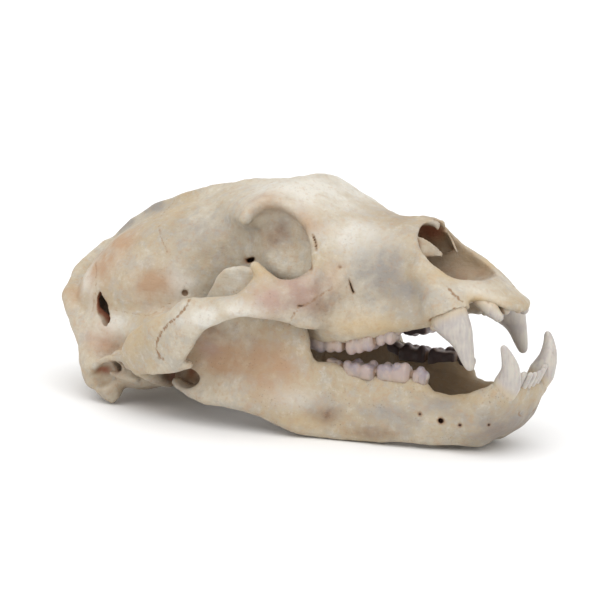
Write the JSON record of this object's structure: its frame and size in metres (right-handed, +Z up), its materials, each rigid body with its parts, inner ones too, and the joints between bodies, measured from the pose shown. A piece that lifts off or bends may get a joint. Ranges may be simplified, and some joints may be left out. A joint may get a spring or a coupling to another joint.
{
  "type": "bear skull",
  "caption": "Dry skull of an adult black bear with its lower jaw, mouth ajar: fangs, cheek teeth, eye sockets, cheek arches and midline crest, lying as it rests.",
  "frame": {"origin": "on the surface that the skull rests on, below the middle of its bounding box", "axes": "+X towards the snout, +Y towards the skull's left, +Z up"},
  "size_m": [0.2804, 0.1718, 0.1288],
  "materials": {
    "cranium_bone": "dry ivory bone, matte to satin, with tan, grey and pinkish stains; teeth grey-white and glossier",
    "arch_bone": "paler, smoother bone, satin",
    "jaw_bone": "dry bone, matte, finely pitted, with grey-blue mottling and brown spots",
    "tooth": "enamel, satin-glossy, grey-white to lilac, browner at the neck and along the wear"
  },
  "bodies": {
    "root": {"braincase": "cranium_bone", "face": "cranium_bone", "zygomatic_arch_left": "arch_bone", "zygomatic_arch_right": "arch_bone", "mandible_left": "jaw_bone", "mandible_right": "jaw_bone"}
  },
  "joints": []
}
